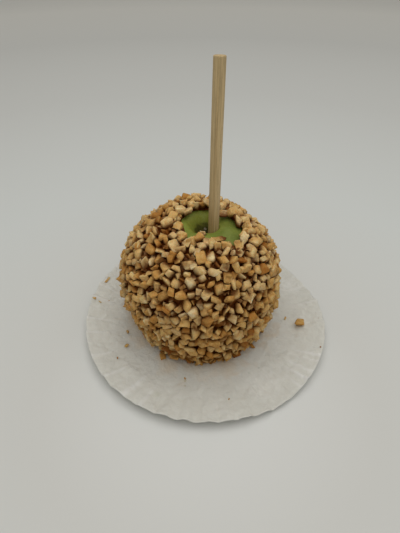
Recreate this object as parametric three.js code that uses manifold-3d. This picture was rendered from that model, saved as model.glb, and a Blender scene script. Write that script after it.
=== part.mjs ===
// A caramel apple: a green apple on a round wooden stick, coated with caramel and
// chopped peanuts except round the stem, standing in a flattened fluted paper case.
// Millimetres, +Z up. The whole stands on z = 0, with the middle of its box over the origin.

import * as THREE from "three";
import { mergeVertices } from "three/addons/utils/BufferGeometryUtils.js";
import Module from "manifold-3d";

const wasm = await Module();
wasm.setup();

// Clearance between pieces that touch in the real thing
const GAP = 0.3;

// Paper case: flat under the apple, then rising to a fluted rim
const CASE_RADIUS = 78.2;
const CASE_FLAT_RADIUS = 47;
const CASE_THICKNESS = 0.4;
const CASE_RINGS = 4;
const RIM_HEIGHT = 6.3;
const RIM_CURVE = 1.5;
const FLUTES = 44;
const FLUTE_HEIGHT = 0.45;
// Stretches of rim that are lifted, pressed down or pleated more deeply than the rest
const RIM_BENDS = [
  { at: 160, spread: 30, lift: 2.8, pleat: 0.3 },
  { at: 28, spread: 22, lift: -5.2, pleat: 0 },
  { at: 305, spread: 16, lift: -3.6, pleat: 0.2 },
  { at: 268, spread: 16, lift: 0, pleat: 0.5 },
];

// Apple: its axis stands off the middle of the case
const AXIS = { x: -3.7, y: 4.6 };
const APPLE_RADIUS = 42.8;
const APPLE_BASE = 3.6;
const APPLE_BASE_RADIUS = 17;
const EQUATOR = 36;
const CREST = 74.8;
const CREST_RADIUS = 15;
const SHOULDER_POWER = 1.9;
const LOWER_POWER = 2.3;
const LOBES = 5;
const LOBE_HEIGHT = 0.7;
const LOBE_TURN = 2.4;
const AROUND = 32;
// Soft hollows that make the apple lopsided: low in front on the left, and at the back
const HOLLOWS = [
  { middle: new THREE.Vector3(-35, -29, 6), reach: 21, push: new THREE.Vector3(2.2, 1.8, 0) },
  { middle: new THREE.Vector3(31, 18, 69), reach: 14, push: new THREE.Vector3(-1.8, -1, -1.8) },
  { middle: new THREE.Vector3(-28, 21, 70), reach: 13, push: new THREE.Vector3(1, -0.8, -1) },
  { middle: new THREE.Vector3(2, 33, 76), reach: 15, push: new THREE.Vector3(0, -0.8, -1.5) },
];

// Stem dimple: a funnel beside the axis, with the dry stub of the stem in it
const DIMPLE_SHIFT = { x: 2.2, y: 3.2 };
const DIMPLE_SINK = 1.4;
const DIMPLE_DEPTH = 10.6;
const DIMPLE_WIDTH = 7;
const DIMPLE_STEPS = 7;
const DIMPLE_PULL_RADIUS = 1.3 * CREST_RADIUS;
const STUB_RADIUS = 0.9;
const STUB_HEIGHT = 7;
const STUB_SUNK = 1;
const STUB_LEAN = 0.2;
const STUB_SIDES = 8;

// Caramel: an even coat that spreads into a foot where it rests on the paper
const COAT = 2.6;
const COAT_BASE = CASE_THICKNESS + GAP + 0.1;
const COAT_RADIUS = APPLE_RADIUS + COAT;
const FOOT_POWER = 2.25;
const FOOT_DEPTH = 66;
const FOOT_STEPS = 5;
const SHOULDER_STEPS = 7;

// Bare patch round the stick that the dip leaves open
const OPENING = { x: 7, y: -4.5, radiusX: 17.5, radiusY: 15.5, wave: 0.06, waves: 5 };
const OPENING_POINTS = 36;
// Stretches of its edge, in degrees, that reach further out or less far than the ellipse
const OPENING_BENDS = [
  { at: 128, spread: 34, reach: 0.24 },
  { at: 38, spread: 24, reach: -0.12 },
  { at: 213, spread: 25, reach: 0.08 },
];

// Chopped peanuts: half length, half width and half height of a piece, and their spreads
const NUTS = 221;
const NUT_HALF = { length: 4.3, width: 3.4, height: 2.9 };
const NUT_SPREAD = { length: 1.4, width: 0.9, height: 0.6 };
const NUT_STAND = 1.25;
const NUT_TILT = 0.7;
const NUT_TOP = { least: 0.4, spread: 0.6, slant: 0.5 };
const NUT_ROUGHNESS = 0.35;
const GOLDEN_ANGLE = Math.PI * (3 - Math.sqrt(5));

// A row of them round the bare patch, and how far out the others begin, in opening radii
const RIM_NUTS = 15;
const RIM_ROW = 1.12;
const RIM_CLEAR = 1.3;

// Stick: a round dowel pushed in beside the dimple, leaning back
const STICK_DIAMETER = 6;
const STICK_LENGTH = 140;
const STICK_BEVEL = 0.5;
const STICK_SIDES = 24;
const STICK_TOP = new THREE.Vector3(8.8, 8.3, 159.7);
const STICK_LEAN = new THREE.Vector3(0.0134, 0.1254, 1).normalize();

// A repeatable draw between 0 and 1 for item i and its quality k.
function draw(i, k) {
  const wave = Math.sin(i * 12.9898 + k * 78.233) * 43758.5453;
  return wave - Math.floor(wave);
}

function clamp(value, low, high) {
  return Math.min(high, Math.max(low, value));
}

// A geometry whose triangles share their corners.
function shared(geometry) {
  const bare = geometry.clone();
  bare.deleteAttribute("normal");
  bare.deleteAttribute("uv");
  return mergeVertices(bare, 1e-3);
}

// A closed geometry as a solid that can be joined and cut.
function solidOf(geometry) {
  const merged = shared(geometry);
  const vertProperties = new Float32Array(merged.attributes.position.array);
  const triVerts = new Uint32Array(merged.index.array);
  return new wasm.Manifold(new wasm.Mesh({ numProp: 3, vertProperties, triVerts }));
}

// A solid's surface as a geometry.
function geometryOf(solid) {
  const mesh = solid.getMesh();
  const positions = new Float32Array(mesh.vertProperties);
  const geometry = new THREE.BufferGeometry();
  geometry.setAttribute("position", new THREE.BufferAttribute(positions, 3));
  geometry.setIndex(new THREE.BufferAttribute(new Uint32Array(mesh.triVerts), 1));
  geometry.computeVertexNormals();
  return geometry;
}

// Moves every vertex of a geometry by move(point), which changes the point in place.
function bend(geometry, move) {
  const position = geometry.attributes.position;
  const point = new THREE.Vector3();
  for (let i = 0; i < position.count; i += 1) {
    move(point.fromBufferAttribute(position, i));
    position.setXYZ(i, point.x, point.y, point.z);
  }
  return geometry;
}

// A profile of (radius, height) points turned round +Z.
function turned(profile, sides) {
  return new THREE.LatheGeometry(profile, sides).rotateX(Math.PI / 2);
}

// A quarter of a superellipse from the flat end, where it is level, to the steep end.
function quarter(flat, steep, power, steps) {
  const points = [];
  for (let i = 0; i <= steps; i += 1) {
    const turn = (i / steps) * (Math.PI / 2);
    const out = Math.sin(turn) ** (2 / power);
    const up = Math.cos(turn) ** (2 / power);
    const x = flat.x + (steep.x - flat.x) * out;
    const y = steep.y + (flat.y - steep.y) * up;
    points.push(new THREE.Vector2(x, y));
  }
  return points;
}

// Height of the dimple's wall at a distance from its middle.
function dimpleHeight(radius) {
  const shoulder = DIMPLE_SINK * (1 - radius / CREST_RADIUS) ** 2;
  const funnel = DIMPLE_DEPTH * Math.exp(-((radius / DIMPLE_WIDTH) ** 2));
  return CREST - shoulder - funnel;
}

// The apple's profile from the middle of its base up to the middle of the dimple.
function appleProfile() {
  const base = new THREE.Vector2(APPLE_BASE_RADIUS, APPLE_BASE);
  const widest = new THREE.Vector2(APPLE_RADIUS, EQUATOR);
  const crest = new THREE.Vector2(CREST_RADIUS, CREST);
  const lower = quarter(base, widest, LOWER_POWER, FOOT_STEPS);
  const upper = quarter(crest, widest, SHOULDER_POWER, SHOULDER_STEPS).reverse().slice(1);
  const profile = [new THREE.Vector2(0, APPLE_BASE), ...lower, ...upper];
  for (let i = DIMPLE_STEPS - 1; i >= 0; i -= 1) {
    const radius = (i / DIMPLE_STEPS) * CREST_RADIUS;
    profile.push(new THREE.Vector2(radius, dimpleHeight(radius)));
  }
  return profile;
}

// A profile moved outwards, square to itself, by a distance.
function grown(profile, distance) {
  return profile.map((point, i) => {
    const before = profile[Math.max(i - 1, 0)];
    const after = profile[Math.min(i + 1, profile.length - 1)];
    const along = after.clone().sub(before).normalize();
    const x = point.x === 0 ? 0 : point.x + along.y * distance;
    const y = point.x === 0 ? point.y + Math.sign(point.y - EQUATOR) * distance
      : point.y - along.x * distance;
    return new THREE.Vector2(x, y);
  });
}

// The unevenness that apple and coat share: soft lobes round the crest, a dimple drawn
// to one side of the axis, and the hollows.
function uneven(point) {
  const before = point.clone();
  const radius = Math.hypot(point.x, point.y);
  const angle = Math.atan2(point.y, point.x);
  const rise = clamp((point.z - EQUATOR) / (CREST - EQUATOR), 0, 1);
  const ring = (radius / CREST_RADIUS) ** 2 * Math.exp(1 - (radius / CREST_RADIUS) ** 2);
  const pull = rise * Math.exp(-((radius / DIMPLE_PULL_RADIUS) ** 2));
  point.z += LOBE_HEIGHT * rise * ring * Math.cos(LOBES * angle + LOBE_TURN);
  point.x += DIMPLE_SHIFT.x * pull;
  point.y += DIMPLE_SHIFT.y * pull;
  for (const { middle, reach, push } of HOLLOWS) {
    const away = before.distanceTo(middle) / reach;
    point.addScaledVector(push, Math.exp(-(away ** 2)));
  }
}

function stickMatrix() {
  const up = new THREE.Vector3(0, 0, 1);
  const foot = STICK_TOP.clone().addScaledVector(STICK_LEAN, -STICK_LENGTH);
  const turn = new THREE.Quaternion().setFromUnitVectors(up, STICK_LEAN);
  return new THREE.Matrix4().compose(foot, turn, new THREE.Vector3(1, 1, 1));
}

// The stick's shape along its own +Z, grown by a clearance where it is a hole.
function stickShape(clearance) {
  const radius = STICK_DIAMETER / 2 + clearance;
  const profile = [
    new THREE.Vector2(0, -clearance),
    new THREE.Vector2(radius - STICK_BEVEL, -clearance),
    new THREE.Vector2(radius, STICK_BEVEL - clearance),
    new THREE.Vector2(radius, STICK_LENGTH - STICK_BEVEL + clearance),
    new THREE.Vector2(radius - STICK_BEVEL, STICK_LENGTH + clearance),
    new THREE.Vector2(0, STICK_LENGTH + clearance),
  ];
  return turned(profile, STICK_SIDES);
}

// The dry stub of the stem, leaning out of the dimple.
function stubShape() {
  const foot = dimpleHeight(0) - STUB_SUNK;
  const profile = [
    new THREE.Vector2(0, 0),
    new THREE.Vector2(STUB_RADIUS, 0),
    new THREE.Vector2(0.8 * STUB_RADIUS, 0.7 * STUB_HEIGHT),
    new THREE.Vector2(1.1 * STUB_RADIUS, STUB_HEIGHT),
    new THREE.Vector2(0, STUB_HEIGHT),
  ];
  const stub = turned(profile, STUB_SIDES).rotateY(STUB_LEAN);
  return stub.translate(DIMPLE_SHIFT.x, DIMPLE_SHIFT.y, foot);
}

function appleSolid() {
  const flesh = solidOf(bend(turned(appleProfile(), AROUND), uneven));
  const hole = solidOf(stickShape(GAP).applyMatrix4(stickMatrix()));
  return flesh.add(solidOf(stubShape())).subtract(hole);
}

// Radius of the coat's foot at a height below the equator.
function footRadius(height) {
  const down = (EQUATOR - height) / FOOT_DEPTH;
  return COAT_RADIUS * (1 - down ** FOOT_POWER) ** (1 / FOOT_POWER);
}

// The coat's outer profile, from the edge of its foot up to the crest.
function coatOutline() {
  const points = [];
  for (let i = 0; i < FOOT_STEPS; i += 1) {
    const height = COAT_BASE + (EQUATOR - COAT_BASE) * (i / FOOT_STEPS);
    points.push(new THREE.Vector2(footRadius(height), height));
  }
  const crest = new THREE.Vector2(CREST_RADIUS, CREST + COAT);
  const widest = new THREE.Vector2(COAT_RADIUS, EQUATOR);
  return [...points, ...quarter(crest, widest, SHOULDER_POWER, SHOULDER_STEPS).reverse()];
}

// The outline of the bare patch, an ellipse with a slow wave and a few bends.
function openingPoint(angle, scale) {
  const degrees = THREE.MathUtils.radToDeg(angle);
  let share = 1 + OPENING.wave * Math.sin(OPENING.waves * angle);
  for (const part of OPENING_BENDS) share += part.reach * bendShare(degrees, part);
  const reach = scale * share;
  const x = OPENING.x + OPENING.radiusX * reach * Math.cos(angle);
  const y = OPENING.y + OPENING.radiusY * reach * Math.sin(angle);
  return new THREE.Vector2(x, y);
}

function openingCutter() {
  const outline = [];
  for (let i = 0; i < OPENING_POINTS; i += 1) {
    outline.push(openingPoint((i / OPENING_POINTS) * 2 * Math.PI, 1));
  }
  const options = { depth: CREST, bevelEnabled: false };
  return new THREE.ExtrudeGeometry(new THREE.Shape(outline), options).translate(0, 0, EQUATOR);
}

function insideOpening(point, scale) {
  const x = (point.x - OPENING.x) / OPENING.radiusX;
  const y = (point.y - OPENING.y) / OPENING.radiusY;
  return Math.hypot(x, y) < scale;
}

// A place on the coat, from a step of its outline, a share of that step and an angle.
function placeOn(outline, step, share, angle) {
  const spot = outline[step - 1].clone().lerp(outline[step], share);
  const along = outline[step].clone().sub(outline[step - 1]).normalize();
  const point = new THREE.Vector3(spot.x * Math.cos(angle), spot.x * Math.sin(angle), spot.y);
  const out = new THREE.Vector3(along.y * Math.cos(angle), along.y * Math.sin(angle), -along.x);
  uneven(point);
  return { point, normal: out };
}

// Places spread evenly over the coat: equal areas up the outline, the golden angle round it.
function spreadPlaces(outline) {
  const areas = [0];
  for (let i = 1; i < outline.length; i += 1) {
    const ring = outline[i].distanceTo(outline[i - 1]) * (outline[i].x + outline[i - 1].x);
    areas.push(areas[i - 1] + ring);
  }
  const places = [];
  for (let i = 0; i < NUTS; i += 1) {
    const area = ((i + 0.5) / NUTS) * areas[areas.length - 1];
    const step = Math.max(1, areas.findIndex((sum) => sum >= area));
    const share = (area - areas[step - 1]) / (areas[step] - areas[step - 1]);
    places.push({ i, ...placeOn(outline, step, share, i * GOLDEN_ANGLE) });
  }
  return places.filter((place) => !insideOpening(place.point, RIM_CLEAR));
}

// Places in a row round the edge of the bare patch.
function rimPlaces() {
  const places = [];
  for (let i = 0; i < RIM_NUTS; i += 1) {
    const spot = openingPoint((i / RIM_NUTS) * 2 * Math.PI, RIM_ROW);
    const radius = Math.hypot(spot.x, spot.y);
    const fall = clamp((radius - CREST_RADIUS) / (APPLE_RADIUS - CREST_RADIUS), 0, 1);
    const drop = (1 - fall ** SHOULDER_POWER) ** (1 / SHOULDER_POWER);
    const height = EQUATOR + (CREST - EQUATOR) * drop + COAT;
    const point = new THREE.Vector3(spot.x, spot.y, height);
    const normal = new THREE.Vector3(spot.x * fall, spot.y * fall, radius).normalize();
    places.push({ i: NUTS + i, point, normal });
  }
  return places;
}

// One chopped piece of peanut: a block that narrows unevenly to a slanting top, so that
// some are wedges and some are stumps, with all eight corners drawn in a little.
function nutShape(i) {
  const block = shared(new THREE.BoxGeometry(2, 2, 2));
  const topLength = NUT_TOP.least + NUT_TOP.spread * draw(i, 7);
  const topWidth = NUT_TOP.least + NUT_TOP.spread * draw(i, 8);
  const slant = NUT_TOP.slant * (draw(i, 9) - 0.5);
  let corner = 0;
  return bend(block, (point) => {
    corner += 1;
    if (point.z > 0) {
      point.x = point.x * topLength + slant;
      point.y *= topWidth;
    }
    point.x *= 1 - NUT_ROUGHNESS * draw(i, 10 + corner);
    point.y *= 1 - NUT_ROUGHNESS * draw(i, 20 + corner);
    point.z *= 1 - NUT_ROUGHNESS * draw(i, 30 + corner);
  });
}

function nutSolid({ i, point, normal }) {
  const size = new THREE.Vector3(
    NUT_HALF.length + NUT_SPREAD.length * (draw(i, 1) - 0.5),
    NUT_HALF.width + NUT_SPREAD.width * (draw(i, 2) - 0.5),
    NUT_HALF.height + NUT_SPREAD.height * (draw(i, 3) - 0.5),
  );
  const spin = new THREE.Quaternion().setFromAxisAngle(
    new THREE.Vector3(0, 0, 1), 2 * Math.PI * draw(i, 4));
  const tilt = new THREE.Quaternion().setFromAxisAngle(
    new THREE.Vector3(0, 1, 0), NUT_TILT * (draw(i, 6) - 0.5));
  const stand = new THREE.Quaternion().setFromUnitVectors(new THREE.Vector3(0, 0, 1), normal);
  const turn = stand.multiply(spin).multiply(tilt);
  const centre = point.clone().addScaledVector(normal, NUT_STAND);
  const place = new THREE.Matrix4().compose(centre, turn, size);
  return solidOf(nutShape(i).applyMatrix4(place));
}

// Everything under the coat's flat base, to trim what would reach the paper.
function belowBase() {
  const side = 4 * COAT_RADIUS;
  return new THREE.BoxGeometry(side, side, side).translate(0, 0, COAT_BASE - side / 2);
}

function coatSolid() {
  const outline = coatOutline();
  const foot = new THREE.Vector2(0, COAT_BASE);
  const lid = new THREE.Vector2(0, CREST + COAT);
  const outer = solidOf(bend(turned([foot, ...outline, lid], AROUND), uneven));
  const cavity = solidOf(bend(turned(grown(appleProfile(), GAP), AROUND), uneven));
  const open = outer.subtract(solidOf(openingCutter()));
  const places = [...spreadPlaces(outline), ...rimPlaces()];
  const covered = places.reduce((solid, place) => solid.add(nutSolid(place)), open);
  const trimmed = covered.subtract(cavity).subtract(solidOf(belowBase()));
  const bodies = trimmed.decompose();
  return bodies.reduce((best, body) => (body.volume() > best.volume() ? body : best));
}

// How strongly a bend in the rim acts at an angle, from 1 at its middle down to 0.
function bendShare(degrees, { at, spread }) {
  const away = ((degrees - at + 540) % 360) - 180;
  return Math.exp(-((away / spread) ** 2));
}

// Height of the paper over the flat base at a point of the case.
function paperRise(x, y) {
  const width = CASE_RADIUS - CASE_FLAT_RADIUS;
  const out = clamp((Math.hypot(x, y) - CASE_FLAT_RADIUS) / width, 0, 1);
  const angle = Math.atan2(y, x);
  const degrees = THREE.MathUtils.radToDeg(angle);
  let lift = RIM_HEIGHT;
  let pleat = FLUTE_HEIGHT;
  for (const part of RIM_BENDS) {
    lift += part.lift * bendShare(degrees, part);
    pleat += part.pleat * bendShare(degrees, part);
  }
  return lift * out ** RIM_CURVE + pleat * out * out * Math.cos(FLUTES * angle);
}

function paperCase() {
  const step = (CASE_RADIUS - CASE_FLAT_RADIUS) / (CASE_RINGS - 1);
  const under = [new THREE.Vector2(0, 0)];
  for (let ring = 0; ring < CASE_RINGS; ring += 1) {
    under.push(new THREE.Vector2(CASE_FLAT_RADIUS + step * ring, 0));
  }
  const over = under.map((point) => new THREE.Vector2(point.x, CASE_THICKNESS)).reverse();
  return bend(turned([...under, ...over], 2 * FLUTES), (point) => {
    point.z += paperRise(point.x, point.y);
  });
}

function material(color, roughness) {
  return new THREE.MeshStandardMaterial({ color, roughness, metalness: 0 });
}

function piece(name, geometry, finish) {
  const mesh = new THREE.Mesh(geometry, finish);
  mesh.name = name;
  return mesh;
}

const appleSkin = material(0x6f8f3a, 0.4);
const nutsAndCaramel = material(0xb98a52, 0.55);
const paleWood = material(0xc0aa80, 0.75);
const whitePaper = material(0xe8e6de, 0.9);

const food = new THREE.Group();
food.position.set(AXIS.x, AXIS.y, 0);
food.add(piece("apple", geometryOf(appleSolid()), appleSkin));
food.add(piece("nut_caramel_coat", geometryOf(coatSolid()), nutsAndCaramel));
const stick = piece("stick", stickShape(0), paleWood);
stickMatrix().decompose(stick.position, stick.quaternion, stick.scale);
food.add(stick);

const standing = new THREE.Group();
standing.add(food);
standing.add(piece("paper_case", paperCase(), whitePaper));

const box = new THREE.Box3().setFromObject(standing);
const middle = box.getCenter(new THREE.Vector3());
standing.position.set(-middle.x, -middle.y, -box.min.z);

const caramelApple = new THREE.Group();
caramelApple.add(standing);

export default caramelApple;
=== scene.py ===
import bpy
import numpy as np
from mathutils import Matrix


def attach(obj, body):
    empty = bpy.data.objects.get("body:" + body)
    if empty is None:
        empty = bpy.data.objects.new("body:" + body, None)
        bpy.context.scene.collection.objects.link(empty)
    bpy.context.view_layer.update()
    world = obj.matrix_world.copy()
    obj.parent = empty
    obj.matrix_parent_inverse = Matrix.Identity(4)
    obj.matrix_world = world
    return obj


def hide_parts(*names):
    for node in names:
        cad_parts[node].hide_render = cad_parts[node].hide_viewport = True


# A caramel apple with chopped peanuts, on a stick, in a flattened paper case. Shapes are worked
# out in millimetres and become metres when their mesh is made. A place about the axis is
# measured from the apple's own upright axis.

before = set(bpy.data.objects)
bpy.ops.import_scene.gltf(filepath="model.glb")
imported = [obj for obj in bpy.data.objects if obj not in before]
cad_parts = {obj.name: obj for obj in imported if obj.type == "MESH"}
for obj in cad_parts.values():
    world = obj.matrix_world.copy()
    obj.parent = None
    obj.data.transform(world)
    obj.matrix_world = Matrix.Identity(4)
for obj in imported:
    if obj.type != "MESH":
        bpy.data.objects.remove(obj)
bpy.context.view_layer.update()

MM = 0.001
BODY = "root"
TURN = 2 * np.pi

# Paper case
CASE_RADIUS = 78.2
CASE_FLAT_RADIUS = 47.0
CASE_SHEET = 0.16
CASE_MIDDLE = 0.2
RIM_HEIGHT = 6.3
RIM_CURVE = 1.5
FLUTES = 44
FLUTE_HEIGHT = 0.45
# Bends of the rim: angle and spread in degrees, lift and deeper pleating in millimetres
RIM_BENDS = ((160, 30, 2.8, 0.3), (28, 22, -5.2, 0.0), (305, 16, -3.6, 0.2), (268, 16, 0.0, 0.5))
# Sharp little folds: angle and width in degrees, where along the radius they start, height
RIM_FOLDS = (
    (-27.5, 0.7, 60, 0.9), (-31.0, 0.6, 64, 0.7), (-37.0, 0.8, 58, 0.6), (-41.2, 0.8, 60, 1.0),
    (-46.0, 0.6, 66, 0.5), (-118.0, 0.8, 55, 0.5), (-127.0, 1.0, 52, 0.7), (-139.0, 0.7, 58, 0.5),
    (-152.0, 0.7, 60, 0.5), (-166.0, 0.8, 57, 0.6), (-175.0, 0.6, 60, 0.7), (172.0, 0.7, 57, 0.6),
    (163.0, 0.6, 62, 0.6), (148.0, 0.9, 60, 0.6), (120.0, 0.8, 58, 0.6), (98.0, 0.6, 62, 0.5),
    (71.0, 0.8, 58, 0.6), (49.0, 0.7, 60, 0.5), (22.0, 0.7, 62, 0.4), (8.0, 0.8, 60, 0.5),
)
# How much of a fold's height shows as relief, and how much as a paler line, which is a painted
# highlight
FOLD_RISE = 1.4
FOLD_HIGHLIGHT = 0.6
# Rings, the power that spreads them outwards, and rays
CASE_RINGS = 62
RING_SPREAD = 0.75
RAYS_PER_FLUTE = 14
# Low crinkles of the sheet: height, pitch and seed, and the radius where they begin
CRINKLES = ((0.42, 13, 21), (0.24, 5, 22))
CRINKLE_START = 30
# Low pleats, which are ripples drawn out along the radius: where they begin, how soon they are
# full, the circle that they are worked out on, and how much the radius counts
PLEATS = ((0.36, 4.6, 23), (0.18, 1.9, 24))
PLEAT_START = 44
PLEAT_GROWTH = 20
PLEAT_RADIUS = 40
PLEAT_STRETCH = 0.10
# Three patches of painted light, then smears and specks on the paper: place, size, colour and strength
PAPER_STAINS_AND_LIGHT = (
    (34.0, -54.0, 26.0, (0.92, 0.905, 0.83), 0.5), (62.6, 30.1, 17.0, (0.92, 0.905, 0.84), 0.6),
    (2.0, -44.0, 20.0, (0.92, 0.86, 0.73), 0.5),
    (-12.5, -49.6, 2.2, (0.50, 0.42, 0.20), 0.75), (-12.3, -53.4, 1.6, (0.52, 0.44, 0.24), 0.7),
    (-28.2, -60.2, 5.0, (0.56, 0.58, 0.42), 0.35), (25.6, -44.4, 2.2, (0.55, 0.58, 0.46), 0.5),
    (31.7, -40.9, 1.6, (0.42, 0.40, 0.33), 0.5), (46.3, -17.4, 0.9, (0.10, 0.09, 0.08), 0.9),
    (-57.5, -31.1, 1.2, (0.45, 0.42, 0.36), 0.5), (58.5, -18.0, 3.2, (0.50, 0.36, 0.22), 0.35),
)

# Apple
AXIS = np.array([-3.7, 4.6, 0.0])
APPLE_RADIUS = 42.8
APPLE_BASE = 3.6
APPLE_BASE_RADIUS = 17.0
EQUATOR = 36.0
CREST = 74.8
CREST_RADIUS = 15.0
SHOULDER_POWER = 1.9
LOWER_POWER = 2.3
LOBES = 5
LOBE_HEIGHT = 0.7
LOBE_TURN = 2.4
DIMPLE_SHIFT = np.array([2.2, 3.2])
DIMPLE_SINK = 1.4
DIMPLE_DEPTH = 10.6
DIMPLE_WIDTH = 7.0
DIMPLE_PULL_RADIUS = 1.3 * CREST_RADIUS
# Soft hollows that make it lopsided: middle, reach and push, about the apple's axis
HOLLOWS = (((-35, -29, 6), 21, (2.2, 1.8, 0)), ((31, 18, 69), 14, (-1.8, -1.0, -1.8)),
           ((-28, 21, 70), 13, (1.0, -0.8, -1.0)), ((2, 33, 76), 15, (0, -0.8, -1.5)))
# Rings below the equator, above it and in the dimple, and columns round
APPLE_STEPS = (26, 44, 34)
APPLE_COLUMNS = 168
# Folds that run into the dimple: height, radius of their middle, reach, number, turn
DIMPLE_FOLDS = ((0.45, 7.5, 3.6, 5, 0.9), (0.16, 5.0, 2.6, 13, 0.0))
# Shallow lumps of the skin: height, pitch and seed
SKIN_LUMPS = ((0.12, 9, 3),)
# Skin pushed up and down round the stick: height, distance from the stick's middle, reach
STICK_LIP = ((0.45, 4.0, 0.9), (-0.8, 0.0, 2.9))

# Stem: its foot is sunk under the dimple's floor, and its tip is the middle of the broken end
STEM_ROWS = 16
STEM_COLUMNS = 20
STEM_HEIGHT = 7.2
STEM_SUNK = 1.0
STEM_TIP = 6.9
STEM_LEAN = (0.9, -0.25)
STEM_GIRTH = 0.95
STEM_TAPER = 0.30
STEM_FLARE = 0.32
STEM_RIBS = 5
RIB_SHARE = 0.10
BREAK_HEIGHT = 0.35

# Caramel
COAT = 2.6
COAT_BASE = 0.8
COAT_RADIUS = APPLE_RADIUS + COAT
EDGE_THINNING = 1.5
EDGE_REACH = 7.0
FOOT_POWER = 2.25
FOOT_DEPTH = 66.0
FOOT_STEPS = 5
SHOULDER_STEPS = 7
OPENING_MIDDLE = np.array([7.0, -4.5])
OPENING_RADII = np.array([17.5, 15.5])
OPENING_WAVE = 0.06
OPENING_WAVES = 5
# Stretches of its edge: angle and spread in degrees, reach added
OPENING_BENDS = ((128, 34, 0.24), (38, 24, -0.12), (213, 25, 0.08))
# Rows of the shell outside, round its edge and inside, and columns round
SHELL_ROWS = (104, 7, 16)
SHELL_COLUMNS = 230
# Steps of its line below the equator, above it and over the dimple, and where that line ends
SHELL_STEPS = (60, 160, 60)
SHELL_END = 2.0
# How far its edge keeps back from the bare patch, how round it is, and half its thickness
EDGE_BACK = 0.6
EDGE_ROUND = 0.6
EDGE_HALF = (COAT - EDGE_THINNING) / 2 + 0.1
# Its inside: where it starts and ends along the line, how deep it lies, and which share of that
# goes sideways and which downwards at the foot, at the equator and this far beyond it
INSIDE_BACK = 0.2
INSIDE_END = 3.0
SHELL_WALL = 2.3
WALL_SHARES = ((0.95, 1.0, 0.25), (0.0, 0.0, 1.0))
WALL_REACH = 60
# Caramel that has climbed the nuts: height, most of it, spread in square millimetres
CLIMB_HEIGHT = 0.55
CLIMB_MOST = 1.2
CLIMB_SPREAD = 3.4
CLIMB_BATCHES = 24
# Ripples of its outside: height, pitch and seed, and how far the whole is set back
SHELL_RIPPLES = ((0.28, 5.5, 11),)
SHELL_SINK = 0.15
# All this grows from the foot over a twelfth of the way up, and goes away from one point
FOOT_FADE = 12
PUFF_MIDDLE = np.array([0, 0, EQUATOR - 4])

# Chopped peanuts. Of the large ones: how many the whole coat would take, half their length,
# width and height, how much these vary, the shares of them that are kept, and how high their
# middles stand over the coat
BIG_NUTS = 221
BIG_HALF = np.array([4.3, 3.4, 2.9])
BIG_SPREAD = np.array([1.4, 0.9, 0.6])
BIG_SHRINK = np.array([0.74, 0.77, 0.86])
BIG_STAND = 1.25
# How steeply the upper side falls away to the thin edge
DOME = (0.12, 0.42)
# How far the middle of the upper side is hollowed, where less than 0 is not at all
DENT = (-0.35, 0.38)
# Near the foot the nuts lie flatter: heights, and shares of their thickness there
LOW_BAND = (4.0, 20.0)
LOW_SHARE = (0.6, 1.0)
# Places at the back of the crest where they lie flatter too: place about the axis, reach, loss
FLAT_SPOTS = (((-14, 25, 74), 8, 0.55), ((17, 23, 73), 9, 0.40))
# Lumps of the nuts: how fast their waves run and how much they move the skin
LUMP_RATE = 2.3
LUMP_SHARE = 0.12
# How far each point of a piece is moved at random
ROUGHNESS = 0.15
# The share of a piece's reach that a cut leaves
CUT_KEPT = (0.55, 0.98)
# Which way a piece's length lies before it is spun: at right angles to this and to outwards
SIDEWAYS = np.array([0.31, 0.22, 0.93])
# How each kind is shaped: range of roundness, unevenness, bend, number of cuts, tilt
LARGE_FORM = ((0.65, 1.15), 0.6, 0.7, 2, 0.4)
EDGE_FORM = ((0.7, 1.1), 0.7, 0.7, 2, 0.15)
SMALL_FORM = ((0.65, 1.15), 0.6, 0.7, 2, 0.75)
SHARD_FORM = ((0.7, 1.1), 0.5, 1.6, 1, 0.75)
UPPER_FORM = ((0.65, 1.1), 0.5, 0.8, 1, 0.7)
LOOSE_FORM = ((0.1, 0.5), 0.5, 0.3, 1, 0.05)
# The row round the bare patch: how many, on which scale of its outline, and the scale of its
# ellipse that the other large ones keep clear of
RIM_NUTS = 15
RIM_ROW = 1.12
RIM_CLEAR = 1.3
# The caramel staining and the painted crevice shade start this much lower on that row and on the
# EDGE_PIECES
RIM_STAIN_SHADE_DROP = 2.4
EDGE_STAIN_SHADE_DROP = 1.2
# Spread of the roasts, and the chances and roasts of the toasted and the pale pieces
ROAST_SPREAD = (2.0, 2.3)
TOASTED_FROM = 0.99
TOASTED = (0.82, 0.92)
PALE_UNDER = 0.07
PALE = (0.0, 0.1)
# Inside this scale of the bare patch's outline, chance gives no piece more than RIM_ROAST
TOASTED_CLEAR = 1.45
RIM_ROAST = 0.5
GOLDEN_ANGLE = np.pi * (3 - np.sqrt(5))
# Smaller pieces fill the room between the large ones, and an upper layer lies on them all:
# layers of least width, greatest width and most pieces, spots to choose from, distance as a
# share of the widths, and the scale of the bare patch that stays clear
BETWEEN = {"layers": ((5.0, 6.6, 220), (4.0, 5.1, 460), (2.9, 3.7, 560), (1.9, 2.5, 300)),
           "pool": 30000, "closeness": 0.79, "clear": 1.0, "seed": 303}
UPPER = {"layers": ((3.6, 5.6, 150),), "pool": 6000, "closeness": 1.5, "clear": 1.12,
         "seed": 505}
# Their half sizes: half length to width, half width to half length, half height to width
SMALL_SHARES = ((0.50, 0.66), (0.60, 0.95), (0.40, 0.58))
SMALL_CAP = 2.8
UPPER_SHARES = (0.55, (0.55, 0.9), (0.28, 0.45))
# How high their middles stand: shares of the half height, most, and the upper layer's
SMALL_STAND = (0.6, 1.35)
STAND_CAP = 2.5
UPPER_STAND = 2.8
SHARD_SHARE = 0.25
SHARD_THINNING = 0.8
# Heights over the caramel are given to the finish as shares of this
STAIN_SHADE_HEIGHT = 8
# No nut on the coat reaches below this
NUT_FLOOR = 0.45
# Dropped bits count as this high over the caramel, so that none of them is stained or darkened with
# painted shade
STAIN_SHADE_LIFT = 5.0
SEEDS = {"large": 101, "between": 202, "upper": 404, "loose": 77}
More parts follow.
